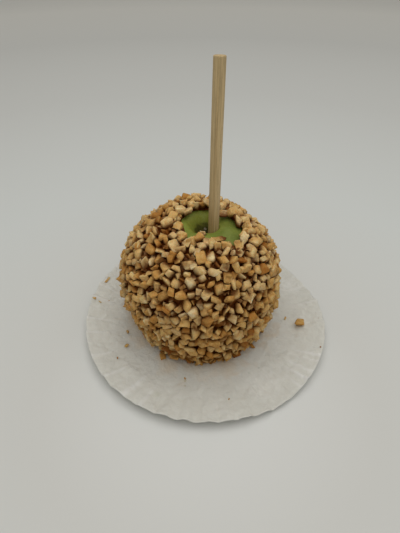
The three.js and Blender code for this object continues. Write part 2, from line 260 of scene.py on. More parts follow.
# Pieces at the bare patch's edge: place about the axis, height of their middle over the coat,
# length, width and height, direction of their length in degrees, roast
EDGE_PIECES = (
    (-0.8, -17.5, 1.2, 6.4, 5.0, 4.4, 20, 0.66), (1.3, -14.4, 0.9, 4.4, 2.8, 2.8, 5, 0.18),
    (4.5, -20.0, 1.2, 9.0, 6.6, 4.6, -20, 0.16), (10.3, -17.0, 1.0, 8.2, 3.8, 3.6, 6, 0.56),
    (15.6, -20.4, 1.2, 5.8, 4.4, 4.8, 70, 0.24), (13.0, -24.0, 1.8, 7.6, 3.2, 2.8, 10, 0.30),
    (-12.6, -7.0, 0.8, 5.6, 4.6, 3.8, 80, 0.45), (-10.8, -14.0, 0.8, 5.4, 4.4, 3.8, 60, 0.25),
    (-7.5, 8.8, 1.0, 7.8, 4.6, 3.6, -10, 0.15), (-13.0, 3.0, 0.8, 5.4, 4.4, 3.6, 100, 0.50),
    (-2.6, 12.8, 1.6, 3.6, 3.2, 6.0, 30, 0.18), (2.0, 16.2, 2.0, 6.4, 5.4, 6.0, 70, 0.68),
    (-9.6, 14.6, 1.4, 5.4, 4.6, 4.2, 10, 0.45), (-5.6, 16.8, 1.4, 5.0, 4.4, 4.2, 50, 0.40),
    (13.4, 6.0, 0.6, 5.8, 4.2, 3.4, 0, 0.30), (18.8, 13.0, 1.8, 8.2, 6.4, 5.2, 20, 0.42),
    (22.4, 8.8, 1.2, 5.6, 5.0, 4.2, 80, 0.48), (21.3, -1.4, 1.2, 5.8, 5.4, 4.8, 20, 0.20),
    (26.2, -2.6, 1.2, 6.0, 5.4, 4.2, 60, 0.32), (24.2, -8.4, 1.0, 5.4, 4.6, 3.8, 100, 0.44),
    (22.7, -14.2, 1.0, 5.4, 4.6, 3.8, 60, 0.26), (-12.6, -21.3, 1.6, 7.6, 6.2, 3.8, 110, 0.18),
    (-6.3, -20.5, 1.4, 6.8, 5.2, 3.8, 40, 0.30), (-7.8, 23.2, 3.0, 4.8, 4.4, 5.6, 0, 0.84),
    (0.8, -28.0, 2.2, 9.0, 6.4, 3.8, 60, 0.62),
)
# Bits dropped on the paper: place, length, width and height, roast
LOOSE_PIECES = (
    (-70.3, 28.2, 6.4, 1.7, 1.0, 0.16), (-76.0, 9.3, 2.6, 2.0, 1.2, 0.30),
    (-72.5, 8.0, 4.2, 0.7, 0.6, 0.16), (-67.0, 10.0, 1.6, 1.2, 0.8, 0.20),
    (-50.9, -13.6, 2.3, 1.7, 1.3, 0.22), (-49.9, -25.2, 2.7, 2.3, 1.6, 0.38),
    (-54.0, -35.6, 1.3, 0.8, 0.4, 0.80), (-26.6, -32.8, 5.6, 3.8, 2.8, 0.62),
    (54.0, -2.0, 3.8, 1.2, 0.7, 0.12), (61.7, -8.6, 6.4, 6.0, 5.0, 0.42),
    (12.6, -62.7, 0.9, 0.7, 0.4, 0.55), (75.0, -5.0, 0.8, 0.7, 0.5, 0.90),
    (70.6, -29.6, 1.2, 0.7, 0.5, 0.92), (-12.6, -48.2, 1.7, 0.9, 0.4, 0.30),
)

# Stick
STICK_RADIUS = 3.0
STICK_LENGTH = 140.0
STICK_TOP = np.array([8.8, 8.3, 159.7])
STICK_RUN = np.array([0.0134, 0.1254, 1.0])
STICK_LEAN = STICK_RUN / np.linalg.norm(STICK_RUN)
STICK_COLUMNS = 56
STICK_ROWS = 90
# Its eased ends: distance from the end, and how far the side is drawn in
STICK_FOOT = ((0.0, 0.5), (0.15, 0.2), (0.5, 0.05), (1.0, 0.0))
STICK_HEAD = ((0.5, 0.0), (0.28, 0.05), (0.12, 0.16), (0.03, 0.34), (0.0, 0.55), (0.0, 1.3),
              (0.0, 2.2))
# Waviness of its side and of its sawn end: share or depth, pitch and seed
SIDE_WAVES = (0.006, 2.6, 5)
END_WAVES = (0.06, 1.1, 6)
END_RADIUS = 2.8
SIDE_STRETCH = 0.04

# Stage, in metres, degrees up from straight down, millimetres for the lens, and watts
FLOOR_HALF = 4.0
# Middle and reach of the tabletop's painted light and shade
SHADE_MIDDLE = (0.0, -0.05, 0.0)
SHADE_REACH = 1.6
CAMERA_PLACE = (-0.00368, -0.18081, 0.20737)
CAMERA_TILT = 48.31
CAMERA_LENS = 27.02
CAMERA_SENSOR = 36.0
CAMERA_NEAR = 0.01
# Square soft lights: name, place, size and power
LIGHTS = (("overhead_softbox", (0.03, 0.03, 1.05), 1.3, 7.35),
          ("front_fill", (0.15, -0.9, 0.8), 1.2, 1.5))
LIGHT_AIM = (0, 0, 0.03)
LIGHT_COLOUR = (1.0, 0.99, 0.96)
GLOW_COLOUR = (1.0, 0.985, 0.95, 1)
GLOW_STRENGTH = 0.28


# ---------------------------------------------------------------- shared mathematics

def draw(item, quality):
    """A repeatable value from 0 to 1: the broken-off fraction of a steep sine."""
    wave = np.sin(item * 12.9898 + quality * 78.233) * 43758.5453
    return wave - np.floor(wave)


def unit(vectors):
    """Each vector divided by its own length."""
    return vectors / np.maximum(np.linalg.norm(vectors, axis=-1, keepdims=True), 1e-9)


def bell(value, middle, reach):
    """A bell curve: 1 at its middle, falling off over its reach."""
    return np.exp(-((value - middle) / reach) ** 2)


def bell_round(angle, at, spread):
    """A bell curve round the circle, of an angle in radians, its middle and spread in degrees."""
    return bell((np.degrees(angle) - at + 540) % 360 - 180, 0, spread)


def bell_about(points, middle, reach):
    """A bell curve of the distance of points from a place."""
    return np.exp(-((points - middle) ** 2).sum(-1) / reach ** 2)


def ring_angles(count):
    """Even steps round the circle."""
    return np.arange(count) / count * TURN


def ripples(points, pitch, seed, waves=14):
    """A smooth field of about -1 to 1: sine waves of about one pitch in random directions, their
    sum over the root of their number."""
    chance = np.random.default_rng(seed)
    runs = unit(chance.normal(size=(waves, 3))) * TURN / pitch
    runs *= chance.uniform(0.7, 1.4, (waves, 1))
    starts = chance.uniform(0, TURN, waves)
    return np.sin(points @ runs.T + starts).sum(-1) / np.sqrt(waves)


def rippled(points, kinds):
    """The sum of several ripples, each a height, a pitch and a seed."""
    return sum(height * ripples(points, pitch, seed) for height, pitch, seed in kinds)


def quarter(flat, steep, power, steps):
    """A quarter superellipse from its level end to its upright end, as (radius, height)."""
    turn = np.linspace(0, np.pi / 2, steps + 1)
    out = np.sin(turn) ** (2 / power)
    up = np.cos(turn).clip(0) ** (2 / power)
    radius = flat[0] + (steep[0] - flat[0]) * out
    height = steep[1] + (flat[1] - steep[1]) * up
    return np.stack([radius, height], -1)


def dimple_height(radius):
    """Height in the dimple: the crest, less a soft shoulder, less a bell-shaped funnel."""
    shoulder = DIMPLE_SINK * (1 - radius / CREST_RADIUS) ** 2
    return CREST - shoulder - DIMPLE_DEPTH * bell(radius, 0, DIMPLE_WIDTH)


def uneven(points):
    """Five soft lobes round the crest, a dimple drawn aside, and hollows that push points over
    as bells round their middles. On points about the axis."""
    x, y, z = points[..., 0], points[..., 1], points[..., 2]
    radius, angle = np.hypot(x, y), np.arctan2(y, x)
    rise = ((z - EQUATOR) / (CREST - EQUATOR)).clip(0, 1)
    ring = (radius / CREST_RADIUS) ** 2 * np.exp(1 - (radius / CREST_RADIUS) ** 2)
    pull = rise * bell(radius, 0, DIMPLE_PULL_RADIUS)
    lift = LOBE_HEIGHT * rise * ring * np.cos(LOBES * angle + LOBE_TURN)
    moved = np.stack([x + DIMPLE_SHIFT[0] * pull, y + DIMPLE_SHIFT[1] * pull, z + lift], -1)
    for middle, reach, push in HOLLOWS:
        moved += bell_about(points, middle, reach)[..., None] * push
    return moved


def paper_rise(x, y):
    """Height of the sheet: level, then a curve up to the rim with a cosine for the flutes."""
    out = ((np.hypot(x, y) - CASE_FLAT_RADIUS) / (CASE_RADIUS - CASE_FLAT_RADIUS)).clip(0, 1)
    angle = np.arctan2(y, x)
    lift, pleat = RIM_HEIGHT, FLUTE_HEIGHT
    for at, spread, more, deeper in RIM_BENDS:
        share = bell_round(angle, at, spread)
        lift, pleat = lift + more * share, pleat + deeper * share
    return lift * out ** RIM_CURVE + pleat * out * out * np.cos(FLUTES * angle)


def grid_faces(rows, columns, wrap_rows=False):
    """Four-sided faces between neighbours of a grid whose columns close into a ring."""
    row = np.arange(rows if wrap_rows else rows - 1)[:, None]
    column = np.arange(columns)[None, :]
    below, after = (row + 1) % rows, (column + 1) % columns
    corners = [row * columns + column, row * columns + after,
               below * columns + after, below * columns + column]
    return np.stack(np.broadcast_arrays(*corners), -1).reshape(-1, 4)


def turned_faces(rows, columns):
    """Faces of rings from a first pole up to a last pole, which are the last two points."""
    first, last = rows * columns, rows * columns + 1
    column = np.arange(columns)
    after = (column + 1) % columns
    start = np.stack([np.full(columns, first), after, column], -1)
    end = np.stack([np.full(columns, last), (rows - 1) * columns + column,
                    (rows - 1) * columns + after], -1)
    return grid_faces(rows, columns).tolist() + start.tolist() + end.tolist()


def turned(profile, columns):
    """Rings of points of a (radius, height) profile turned round the upright axis."""
    angle = ring_angles(columns)
    radius, height = profile[:, :1], profile[:, 1:]
    rings = [radius * np.cos(angle), radius * np.sin(angle), height + 0 * angle]
    return np.stack(rings, -1)


# ---------------------------------------------------------------- making pieces

def make_piece(name, points, faces, finish, values=None, replaced=()):
    """Puts points in millimetres and their faces into a mesh in metres that rides on the body."""
    mesh = bpy.data.meshes.new(name)
    faces = faces if isinstance(faces, list) else faces.tolist()
    mesh.from_pydata((points.reshape(-1, 3) * MM).tolist(), [], faces)
    mesh.polygons.foreach_set("use_smooth", np.ones(len(mesh.polygons), bool))
    for key, numbers in (values or {}).items():
        kind = {1: "FLOAT", 3: "FLOAT_VECTOR", 4: "FLOAT_COLOR"}[numbers.shape[-1]]
        field = {1: "value", 3: "vector", 4: "color"}[numbers.shape[-1]]
        attribute = mesh.attributes.new(key, kind, "POINT")
        attribute.data.foreach_set(field, numbers.astype(np.float32).ravel())
    mesh.materials.append(finish)
    piece = bpy.data.objects.new(name, mesh)
    bpy.context.scene.collection.objects.link(piece)
    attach(piece, BODY)
    if replaced:
        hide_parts(*replaced)
    return piece


def fill(tree, node, inputs):
    """Gives a node's inputs their values or links."""
    for key, value in inputs.items():
        if isinstance(value, bpy.types.NodeSocket):
            tree.links.new(value, node.inputs[key])
        else:
            node.inputs[key].default_value = value


def add(tree, kind, inputs, **settings):
    """Adds a shader node, with its settings and with values or links for its inputs."""
    made = tree.nodes.new("ShaderNode" + kind)
    for key, value in settings.items():
        setattr(made, key, value)
    fill(tree, made, inputs)
    return made


def position(tree):
    """Where a point lies, in metres."""
    return add(tree, "TexCoord", {}).outputs["Object"]


def own_value(tree, name):
    """The outputs of a piece's own attribute."""
    return add(tree, "Attribute", {}, attribute_name=name, attribute_type="GEOMETRY").outputs


def ramp(tree, factor, stops):
    """A colour ramp from (position, colour) stops; a single number stands for a grey."""
    made = add(tree, "ValToRGB", {0: factor})
    elements = made.color_ramp.elements
    while len(elements) < len(stops):
        elements.new(0.5)
    for element, (where, colour) in zip(elements, stops):
        element.position = where
        shade = (colour,) * 3 if isinstance(colour, (int, float)) else colour
        element.color = (*shade, 1)
    return made.outputs["Color"]


def blend_colours(tree, factor, first, second, mode="MIX"):
    """Two colours mixed by a factor, each a socket or a plain colour."""
    first, second = [colour if isinstance(colour, bpy.types.NodeSocket) else (*colour, 1)
                     for colour in (first, second)]
    made = add(tree, "Mix", {0: factor, 6: first, 7: second}, data_type="RGBA", blend_type=mode)
    return made.outputs[2]


def tinted(tree, colour, tint, factor=1.0):
    """A colour multiplied by a tint, as far as a factor says."""
    return blend_colours(tree, factor, colour, tint, "MULTIPLY")


def calculate(tree, operation, *inputs):
    """One arithmetic node on sockets or numbers."""
    return add(tree, "Math", dict(enumerate(inputs)), operation=operation).outputs[0]


def on_vectors(tree, operation, *inputs):
    """One vector node on sockets or plain vectors."""
    return add(tree, "VectorMath", dict(enumerate(inputs)), operation=operation).outputs


def height_of(tree, place):
    """The height of a place."""
    return add(tree, "SeparateXYZ", {0: place}).outputs["Z"]


def stretched(tree, place, share):
    """A place whose height counts only as a share, which draws a pattern out upwards."""
    return add(tree, "Mapping", {"Vector": place, "Scale": (1.0, 1.0, share)}).outputs[0]


def from_upright(tree, place, x, y):
    """A place seen from the upright line at x, y in metres, and its distance from that line."""
    seen = add(tree, "Mapping", {"Vector": place, "Location": (-x, -y, 0)}).outputs[0]
    flat = on_vectors(tree, "MULTIPLY", seen, (1, 1, 0))[0]
    return seen, on_vectors(tree, "LENGTH", flat)["Value"]


def ragged(tree, value, reach, cloud, share):
    """A value over its reach, plus a share of a cloud, so that what follows it has no even edge."""
    return calculate(tree, "MULTIPLY_ADD", cloud, share, calculate(tree, "DIVIDE", value, reach))


def noise(tree, where, scale, detail=3.0, roughness=0.5, distortion=0.0):
    """Cloudy noise of a scale per metre at a place."""
    inputs = {"Vector": where, "Scale": scale, "Detail": detail, "Roughness": roughness,
              "Distortion": distortion}
    return add(tree, "TexNoise", inputs).outputs["Fac"]


def bump(tree, height, strength, depth, under=None):
    """Relief from a height socket, depth in metres, laid over other relief if there is some."""
    inputs = {"Height": height, "Strength": strength, "Distance": depth}
    if under is not None:
        inputs["Normal"] = under
    return add(tree, "Bump", inputs).outputs["Normal"]


def new_finish(name):
    """An empty node material with a Principled shader joined to its output."""
    material = bpy.data.materials.new(name)
    material.use_nodes = True
    tree = material.node_tree
    return material, tree, tree.nodes["Principled BSDF"]


# ---------------------------------------------------------------- finishes

def apple_skin_finish():
    """Waxy green skin, with painted light to one side of the bare patch and painted shade to the
    other: yellower and then deeper green towards the dimple, the deeper green partly painted shade in
    the hollow, with faint streaks and dots, and russeting at the stem end that is partly painted
    shade."""
    material, tree, shader = new_finish("apple_skin")
    place = position(tree)
    seen, radius = from_upright(tree, place, *(AXIS[:2] + DIMPLE_SHIFT) * MM)
    skin = ramp(tree, noise(tree, place, 140), [(0.3, (0.175, 0.222, 0.038)),
                                                (0.7, (0.250, 0.295, 0.056))])
    yellow = ramp(tree, calculate(tree, "DIVIDE", radius, 0.016),
                  [(0.15, 0.75), (0.75, 0.12), (1.0, 0.0)])
    skin = blend_colours(tree, yellow, skin, (0.30, 0.28, 0.034))
    # Deeper green towards the dimple: partly the skin's own colour and partly painted shade in the
    # hollow
    deep_green_and_shade = ramp(tree, calculate(tree, "DIVIDE", radius, 0.010), [(0.35, 0.60), (1.0, 0.0)])
    skin = blend_colours(tree, deep_green_and_shade, skin, (0.075, 0.095, 0.010))
    # Painted light and shade across the bare patch: lighter to its left, darker to its right
    across = add(tree, "SeparateXYZ", {0: seen}).outputs["X"]
    side = ramp(tree, calculate(tree, "MULTIPLY_ADD", across, 25.0, 0.5),
                [(0.15, 1.16), (0.50, 1.04), (0.80, 0.82)])
    skin = tinted(tree, skin, side)
    streak = ramp(tree, noise(tree, stretched(tree, seen, 0.12), 900, 4, 0.6),
                  [(0.52, 0.0), (0.78, 0.35)])
    skin = blend_colours(tree, streak, skin, (0.36, 0.40, 0.13))
    dots = add(tree, "TexVoronoi", {"Vector": place, "Scale": 330.0, "Randomness": 1.0})
    dot = ramp(tree, dots.outputs["Distance"], [(0.04, 0.5), (0.10, 0.0)])
    skin = blend_colours(tree, dot, skin, (0.42, 0.43, 0.18))
    # Russeting round the stem; its very dark colours are partly painted shade in the funnel of the
    # dimple
    edge = ragged(tree, radius, 0.0080, noise(tree, place, 420, 4, 0.65), 0.5)
    russet_and_shade = ramp(tree, edge, [(0.45, 0.97), (0.85, 0.70), (1.25, 0.0)])
    russet_shade_colour = ramp(tree, noise(tree, place, 1500), [(0.3, (0.022, 0.018, 0.003)),
                                                 (0.7, (0.055, 0.044, 0.008))])
    fill(tree, shader, {"Base Color": blend_colours(tree, russet_and_shade, skin, russet_shade_colour),
                        "Roughness": ramp(tree, russet_and_shade, [(0.0, 0.42), (1.0, 0.8)]),
                        "Normal": bump(tree, noise(tree, place, 2600), 0.12, 0.0001),
                        "Subsurface Weight": 0.08, "Subsurface Scale": 0.002,
                        "Specular IOR Level": 0.13})
    return material


def caramel_finish():
    """Dark amber caramel: glossy and cloudy, with a soft glow inside."""
    material, tree, shader = new_finish("caramel")
    place = position(tree)
    amber = ramp(tree, noise(tree, place, 230, 4, 0.6),
                 [(0.30, (0.066, 0.011, 0.0004)), (0.55, (0.108, 0.023, 0.0008)),
                  (0.78, (0.19, 0.056, 0.004))])
    fill(tree, shader, {"Base Color": amber, "Roughness": 0.24,
                        "Normal": bump(tree, noise(tree, place, 700), 0.35, 0.0004),
                        "Subsurface Weight": 0.2, "Subsurface Scale": 0.0015,
                        "Specular IOR Level": 0.25, "Specular Tint": (1.0, 0.6, 0.3, 1)})
    return material


def peanut_finish():
    """Roasted peanut: each piece has its own roast, cut faces are paler and the others browner, with
    painted shade in the hollow of a dent; pieces near the foot are darker, partly a caramel tint and
    partly painted shade, and the foot of each piece is stained by caramel and darkened with painted
    shade in the crevices."""
    material, tree, shader = new_finish("chopped_peanut")
    place = position(tree)
    facts = own_value(tree, "nut")
    roast, cut, height = add(tree, "SeparateColor", {0: facts["Color"]}).outputs[:3]
    phase = facts["Alpha"]
    own = add(tree, "CombineXYZ", {0: phase, 1: calculate(tree, "MULTIPLY", phase, 7.0)})
    moved = on_vectors(tree, "ADD", place, own.outputs[0])[0]
    flesh = ramp(tree, roast, [
        (0.00, (0.76, 0.62, 0.38)), (0.12, (0.88, 0.74, 0.450)), (0.34, (0.87, 0.685, 0.360)),
        (0.60, (0.775, 0.545, 0.230)), (0.84, (0.62, 0.364, 0.118)), (0.95, (0.39, 0.175, 0.040)),
        (1.00, (0.20, 0.075, 0.018))])
    patches = ramp(tree, noise(tree, moved, 420, 3, 0.6), [(0.42, 0.0), (0.68, 0.85)])
    flesh = tinted(tree, flesh, (0.76, 0.60, 0.42), patches)
    grain = ramp(tree, noise(tree, moved, 3200, 3, 0.6), [(0.35, 0.82), (0.65, 1.10)])
    flesh = tinted(tree, flesh, grain)
    # Cut faces keep the paler flesh and the rest is browner; the middle of a dent counts as uncut,
    # painted shade
    flesh = blend_colours(tree, cut, tinted(tree, flesh, (0.90, 0.78, 0.62)), flesh)
    # Darker towards the foot of the apple: partly a caramel tint, partly painted shade; the caramel
    # colour below is darker there too
    low = ramp(tree, calculate(tree, "DIVIDE", height_of(tree, place), 0.07),
               [(0.10, 0.90), (0.45, 0.45), (0.90, 0.0)])
    flesh = tinted(tree, flesh, (0.75, 0.68, 0.55), low)
    caramel_and_crevice_shade = blend_colours(tree, low, (0.118, 0.024, 0.0008), (0.19, 0.068, 0.007))
    # Caramel staining at each piece's foot, made dark enough to stand for painted shade in the
    # crevices between pieces
    wander = calculate(tree, "MULTIPLY", noise(tree, place, 600, 2), 0.22)
    stain_and_crevice_shade = ramp(tree, calculate(tree, "SUBTRACT", height, wander),
                 [(0.00, 0.98), (0.15, 0.86), (0.28, 0.28), (0.42, 0.0)])
    relief = bump(tree, noise(tree, moved, 700, 2, 0.5), 0.7, 0.0005)
    relief = bump(tree, noise(tree, moved, 1900, 3, 0.6), 0.4, 0.0002, relief)
    fill(tree, shader, {"Base Color": blend_colours(tree, stain_and_crevice_shade, flesh, caramel_and_crevice_shade),
                        "Roughness": ramp(tree, stain_and_crevice_shade, [(0.0, 0.62), (1.0, 0.50)]),
                        "Normal": relief, "Subsurface Weight": 0.10,
                        "Subsurface Scale": 0.0012, "Specular IOR Level": 0.15,
                        "Specular Tint": (1.0, 0.72, 0.42, 1)})
    return material


def stick_finish():
    """Bare dowel: fine grain drawn out along the stick, darker pores and a darker, damp foot."""
    material, tree, shader = new_finish("pale_wood")
    place = own_value(tree, "grain")["Vector"]
    fibre = noise(tree, stretched(tree, place, 0.035), 1.6, 5, 0.65)
    band = noise(tree, stretched(tree, place, 0.012), 0.55, 3, 0.55)
    wood = ramp(tree, band, [(0.30, (0.46, 0.310, 0.140)), (0.50, (0.57, 0.420, 0.212)),
                             (0.72, (0.65, 0.495, 0.278))])
    wood = tinted(tree, wood, ramp(tree, fibre, [(0.34, 0.70), (0.55, 1.0), (0.75, 1.10)]))
    pore = ramp(tree, noise(tree, stretched(tree, place, 0.12), 5.5, 2),
                [(0.62, 0.0), (0.72, 0.45)])
    wood = blend_colours(tree, pore, wood, (0.24, 0.15, 0.065))
    damp = ramp(tree, ragged(tree, height_of(tree, place), 100.0, fibre, 0.12),
                [(0.56, 0.85), (0.80, 0.0)])
    fill(tree, shader, {"Base Color": tinted(tree, wood, (0.80, 0.75, 0.66), damp),
                        "Roughness": 0.68, "Normal": bump(tree, fibre, 0.4, 0.00012),
                        "Specular IOR Level": 0.35})
    return material


def stem_finish():
    """Dry grey-brown stem with streaks drawn out along it."""
    material, tree, shader = new_finish("dry_stem")
    streaks = noise(tree, stretched(tree, position(tree), 0.25), 1800, 4, 0.6)
    bark = ramp(tree, streaks, [(0.3, (0.06, 0.045, 0.025)), (0.7, (0.24, 0.20, 0.14))])
    fill(tree, shader, {"Base Color": bark, "Roughness": 0.85,
                        "Normal": bump(tree, streaks, 0.6, 0.0003)})
    return material


def paper_finish():
    """Thin white baking paper: faint fibres, a wide greased patch and a caramel smudge round the
    apple, both partly painted warm shade, painted light patches and specks, folds with a paler line
    that is a painted highlight, painted shade towards the rim, and crinkles as cell edges."""
    material, tree, shader = new_finish("white_paper")
    place = position(tree)
    from_apple = from_upright(tree, place, *AXIS[:2] * MM)[1]
    from_middle = from_upright(tree, place, 0.0, 0.0)[1]
    sheet = ramp(tree, noise(tree, place, 55, 4, 0.6), [(0.25, (0.752, 0.737, 0.652)),
                                                        (0.75, (0.812, 0.799, 0.721))])
    fibre = ramp(tree, noise(tree, place, 2400, 3, 0.7), [(0.35, 0.965), (0.65, 1.02)])
    sheet = tinted(tree, sheet, fibre)
    # A wide greased patch round the apple; its warm, darker colour is partly painted warm shade from
    # light bounced off the caramel
    grease_shade_reach = ragged(tree, from_apple, 0.062, noise(tree, place, 75, 4, 0.65), 0.75)
    grease_and_warm_shade = ramp(tree, grease_shade_reach, [(0.76, 0.80), (1.04, 0.30), (1.30, 0.0)])
    sheet = blend_colours(tree, grease_and_warm_shade, sheet, (0.76, 0.70, 0.58))
    # A caramel smudge round the apple, likewise partly painted warm shade
    brown = ragged(tree, from_apple, 0.078, noise(tree, place, 80, 2, 0.5, 0.5), 0.6)
    smear_and_warm_shade = ramp(tree, brown, [(0.78, 0.95), (1.18, 0.0)])
    sheet = blend_colours(tree, smear_and_warm_shade, sheet, (0.755, 0.635, 0.465))
    cloud = noise(tree, place, 700)
    # The first three entries are painted light on the sheet; the others are smears and specks
    for x, y, size, colour, strength in PAPER_STAINS_AND_LIGHT:
        away = from_upright(tree, place, x * MM, y * MM)[1]
        stain_and_painted_light = ramp(tree, ragged(tree, away, size * MM, cloud, 0.9), [(0.45, strength), (1.1, 0.0)])
        sheet = blend_colours(tree, stain_and_painted_light, sheet, colour)
    # Painted shade: the sheet is darker over the outer part of its radius, which tones down the glow
    # of its thin edge
    rim = ramp(tree, calculate(tree, "DIVIDE", from_middle, CASE_RADIUS * MM),
               [(0.84, 1.0), (0.99, 0.89)])
    sheet = tinted(tree, sheet, rim)
    # A paler line along each fold: painted highlight
    sheet = blend_colours(tree, own_value(tree, "fold_highlight")["Fac"], sheet, (0.93, 0.92, 0.89))
    sway = on_vectors(tree, "MULTIPLY", noise(tree, place, 60, 2), (0.02, 0.02, 0.0))[0]
    swayed = on_vectors(tree, "ADD", place, sway)[0]
    cells = add(tree, "TexVoronoi", {"Vector": swayed, "Scale": 75.0},
                feature="DISTANCE_TO_EDGE").outputs["Distance"]
    crinkle = calculate(tree, "MULTIPLY", ramp(tree, cells, [(0.0, 1.0), (0.12, 0.0)]),
                        ramp(tree, noise(tree, place, 35, 2), [(0.40, 0.0), (0.62, 1.0)]))
    relief = bump(tree, crinkle, 0.25, 0.0006)
    relief = bump(tree, noise(tree, place, 260, 5, 0.62, 0.5), 0.85, 0.0010, relief)
    relief = bump(tree, noise(tree, place, 1500, 2), 0.25, 0.0001, relief)
    fill(tree, shader, {"Base Color": sheet, "Normal": relief,
                        "Roughness": ramp(tree, grease_and_warm_shade, [(0.0, 0.72), (1.0, 0.5)]),
                        "Subsurface Weight": 0.30, "Subsurface Scale": 0.003,
                        "Subsurface Radius": (1.0, 0.98, 0.92), "Specular IOR Level": 0.3})
    return material


def floor_finish():
    """Plain pale tabletop with painted light and shade: its colour changes slowly with the distance
    from a point in front of the middle, lighter near that point, darker further out and lightest far
    out."""
    material, tree, shader = new_finish("pale_tabletop")
    away = on_vectors(tree, "DISTANCE", position(tree), SHADE_MIDDLE)["Value"]
    pale = ramp(tree, calculate(tree, "DIVIDE", away, SHADE_REACH),
                [(0.0, (0.71, 0.71, 0.69)), (0.025, (0.715, 0.72, 0.697)),
                 (0.060, (0.655, 0.655, 0.624)), (0.142, (0.656, 0.676, 0.655)),
                 (0.311, (0.624, 0.629, 0.603)), (0.536, (0.662, 0.662, 0.628)),
                 (0.755, (0.853, 0.842, 0.782))])
    fill(tree, shader, {"Base Color": pale, "Roughness": 0.6, "Specular IOR Level": 0.2})
    return material


# ---------------------------------------------------------------- apple

def apple_profile(lower_steps, upper_steps, dimple_steps):
    """The apple's (radius, height) rings from near the base's middle up into the dimple."""
    lower = quarter((APPLE_BASE_RADIUS, APPLE_BASE), (APPLE_RADIUS, EQUATOR), LOWER_POWER,
                    lower_steps)
    upper = quarter((CREST_RADIUS, CREST), (APPLE_RADIUS, EQUATOR), SHOULDER_POWER,
                    upper_steps)[::-1][1:]
    radius = np.linspace(CREST_RADIUS, 0, dimple_steps + 1)[1:-1]
    dimple = np.stack([radius, dimple_height(radius)], -1)
    return np.concatenate([lower, upper, dimple])


def stick_distance(points):
    """Distance of points, about the apple's axis, from the stick's middle line."""
    along = (points - STICK_TOP) @ STICK_LEAN
    return np.linalg.norm(points - STICK_TOP - along[..., None] * STICK_LEAN, axis=-1)


def make_apple():
    """Rings of the profile with lobes, shallow lumps, folds that run into the dimple as bells of
    the radius times a cosine of the angle, and skin pushed up and down round the stick."""
    rings = turned(apple_profile(*APPLE_STEPS), APPLE_COLUMNS)
    poles = np.array([[0, 0, APPLE_BASE], [0, 0, dimple_height(0.0)]])
    points = np.concatenate([rings.reshape(-1, 3), poles])
    radius = np.hypot(points[:, 0], points[:, 1])
    angle = np.arctan2(points[:, 1], points[:, 0])
    top = (points[:, 2] > EQUATOR).astype(float)
    folds = sum(height * bell(radius, middle, reach) * np.cos(count * angle + turn)
                for height, middle, reach, count, turn in DIMPLE_FOLDS)
    points = uneven(points)
    points[:, 2] += top * (folds + rippled(points, SKIN_LUMPS))
    near = stick_distance(points)
    points[:, 2] += top * sum(height * bell(near, middle, reach)
                              for height, middle, reach in STICK_LIP)
    faces = turned_faces(len(rings), APPLE_COLUMNS)
    make_piece("apple_skin_surface", points + AXIS, faces, apple_skin_finish(),
               replaced=("apple",))


def make_stem():
    """A ribbed tube that tapers and then flares as a power of its height, leans out of the dimple
    as powers of it, and ends in a ragged break, a cosine of the angle."""
    share = np.linspace(0, 1, STEM_ROWS)[:, None]
    angle = ring_angles(STEM_COLUMNS)
    height = STEM_HEIGHT * share + BREAK_HEIGHT * share ** 6 * np.cos(3 * angle + 0.6)
    girth = STEM_GIRTH - STEM_TAPER * share + STEM_FLARE * share ** 5
    girth = girth * (1 + RIB_SHARE * np.cos(STEM_RIBS * angle))
    x = girth * np.cos(angle) + STEM_LEAN[0] * share ** 1.5
    y = girth * np.sin(angle) + STEM_LEAN[1] * share ** 2
    foot = dimple_height(0.0) - STEM_SUNK
    tube = np.stack([x, y, height + foot], -1).reshape(-1, 3)
    points = np.concatenate([tube, [[0, 0, foot], [*STEM_LEAN, foot + STEM_TIP]]])
    points[:, :2] += DIMPLE_SHIFT
    make_piece("stem_stub", points + AXIS, turned_faces(STEM_ROWS, STEM_COLUMNS),
               stem_finish(), replaced=("apple",))


# ---------------------------------------------------------------- caramel

def opening_share(turn):
    """The bare patch's outline as a share of its ellipse: a slow wave and a few bells."""
    share = 1 + OPENING_WAVE * np.sin(OPENING_WAVES * turn)
    for at, spread, reach in OPENING_BENDS:
        share = share + reach * bell_round(turn, at, spread)
    return share


def opening_line(turn, scale=1.0):
    """The bare patch's outline about the axis as x and y, grown by a scale."""
    reach = OPENING_RADII[:, None] * (scale * opening_share(turn))
    return OPENING_MIDDLE[:, None] + reach * np.stack([np.cos(turn), np.sin(turn)])


def opening_reach(angle):
    """How far the bare patch reaches from the apple's axis at an angle: its outline, worked out
    finely and read off by angle."""
    x, y = opening_line(ring_angles(720))
    around = np.arctan2(y, x)
    order = np.argsort(around)
    return np.interp(angle, around[order], np.hypot(x, y)[order], period=TURN)


def foot_radius(height):
    """Radius of the coat below the equator: a superellipse cut off by the paper."""
    down = ((EQUATOR - height) / FOOT_DEPTH).clip(0, 1)
    return COAT_RADIUS * (1 - down ** FOOT_POWER) ** (1 / FOOT_POWER)


def coat_outline(foot_steps, shoulder_steps):
    """The coat's outer (radius, height) line from the foot up to the crest."""
    height = COAT_BASE + (EQUATOR - COAT_BASE) * np.arange(foot_steps) / foot_steps
    foot = np.stack([foot_radius(height), height], -1)
    upper = quarter((CREST_RADIUS, CREST + COAT), (COAT_RADIUS, EQUATOR), SHOULDER_POWER,
                    shoulder_steps)[::-1]
    return np.concatenate([foot, upper])


def shoulder(radius, lift=0.0):
    """How far from the crest out to the equator a radius lies, as a share, and the share of the
    height that is left there, a superellipse."""
    fall = ((radius - CREST_RADIUS) / (APPLE_RADIUS + lift - CREST_RADIUS)).clip(0, 1)
    return fall, (1 - fall ** SHOULDER_POWER) ** (1 / SHOULDER_POWER)


